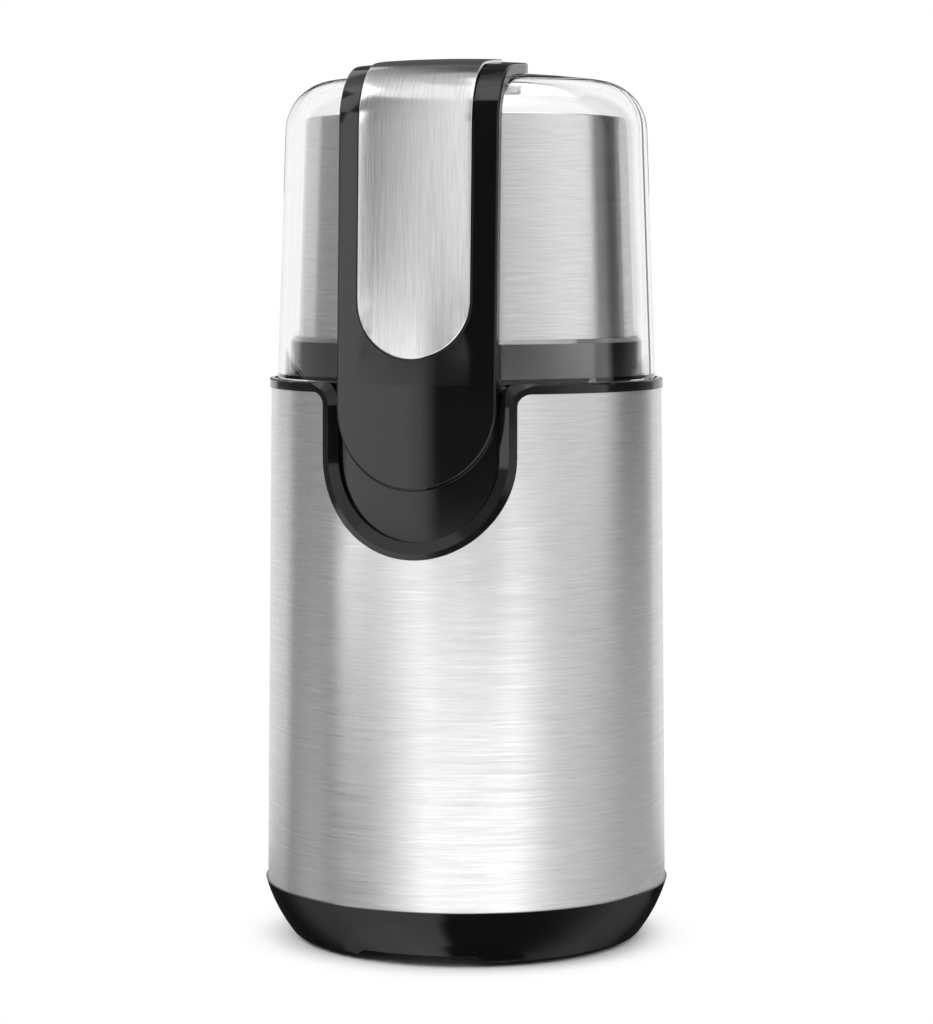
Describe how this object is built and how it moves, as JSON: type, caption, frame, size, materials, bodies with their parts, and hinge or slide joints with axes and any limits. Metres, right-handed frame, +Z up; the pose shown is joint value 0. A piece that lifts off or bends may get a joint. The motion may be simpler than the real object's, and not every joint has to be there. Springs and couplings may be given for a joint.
{
  "type": "blade coffee grinder",
  "caption": "Electric blade coffee grinder: brushed steel body on a black base, steel bowl with a spinning blade, and a clear press-to-run lid with a black and steel strap.",
  "frame": {"origin": "on the motor's axis, on the surface that the feet stand on", "axes": "+Z up along the motor's axis; the strap and the recess in the body face -Y"},
  "size_m": [0.0982, 0.0982, 0.2118],
  "materials": {
    "brushed_steel": "brushed along the height of the body",
    "polished_steel": "polished",
    "clear_plastic": "clear, polished",
    "black_plastic": "satin black moulding",
    "ring_plastic": "polished black moulding",
    "grey_plastic": "plain moulding",
    "white_nylon": "plain moulding",
    "brown_board": "pressed board",
    "carbon": "pressed carbon",
    "red_plastic": "moulded",
    "wire_cover": "smooth wire cover",
    "rubber": "matt",
    "screw_steel": "zinc plated",
    "spring_steel": "drawn wire",
    "shaft_steel": "ground",
    "core_steel": "stacked sheets, varnished",
    "plate_steel": "zinc plated sheet",
    "cast_aluminium": "as cast",
    "copper": "enamelled wire and bar",
    "bronze": "sintered",
    "brass": "pressed sheet"
  },
  "bodies": {
    "housing": {"base": "black_plastic", "base_screws": "screw_steel", "body_sleeve": "brushed_steel", "brush_holders": "brass", "brush_plate": "brown_board", "brush_springs": "spring_steel", "carbon_brushes": "carbon", "collar_screws": "screw_steel", "cord_gland": "rubber", "field_coils": "copper", "inner_housing": "grey_plastic", "lead_wires": "wire_cover", "lift_springs": "spring_steel", "lower_bearing": "bronze", "lower_bracket": "cast_aluminium", "microswitch": "black_plastic", "motor_mounts": "rubber", "motor_plate": "plate_steel", "mount_screws": "screw_steel", "rubber_feet": "rubber", "spool_cap": "black_plastic", "spool_screws": "screw_steel", "stator_core": "core_steel", "switch_screws": "screw_steel", "through_bolts": "screw_steel", "top_collar": "black_plastic", "upper_bearing": "bronze"},
    "rotor": {"armature_core": "core_steel", "armature_windings": "copper", "blade": "polished_steel", "blade_nut": "polished_steel", "blade_spindle": "shaft_steel", "blade_washer": "polished_steel", "bowl_coupler": "white_nylon", "commutator": "copper", "cooling_fan": "white_nylon", "motor_coupler": "white_nylon", "motor_shaft": "shaft_steel"},
    "bowl": {"bowl_bush": "bronze", "bowl_ring": "ring_plastic", "bush_nut": "brass", "grinding_bowl": "polished_steel", "shaft_seal": "rubber"},
    "press_pins": {"lift_pins": "white_nylon", "switch_button": "red_plastic", "switch_plunger": "white_nylon"},
    "lid": {"lid_dome": "clear_plastic", "lid_strap": "black_plastic", "strap_inlay": "brushed_steel", "strap_screws": "screw_steel"}
  },
  "joints": [
    {"name": "motor_spin", "type": "hinge", "parent": "housing", "child": "rotor", "pos_m": [0, 0, 0.1], "axis": [0, 0, 1], "continuous": true},
    {"name": "bowl_twist", "type": "hinge", "parent": "housing", "child": "bowl", "pos_m": [0, 0, 0.131], "axis": [0, 0, 1], "range_deg": [0, 30]},
    {"name": "lid_press", "type": "slide", "parent": "housing", "child": "press_pins", "axis": [0, 0, 1], "range_m": [-0.0015, 0], "stiffness_N_per_m": 500, "springref_m": 0.006, "deforming": ["lift_springs"]},
    {"name": "lid_lift", "type": "slide", "parent": "press_pins", "child": "lid", "axis": [0, 0, 1], "range_m": [0, 0.1]}
  ]
}
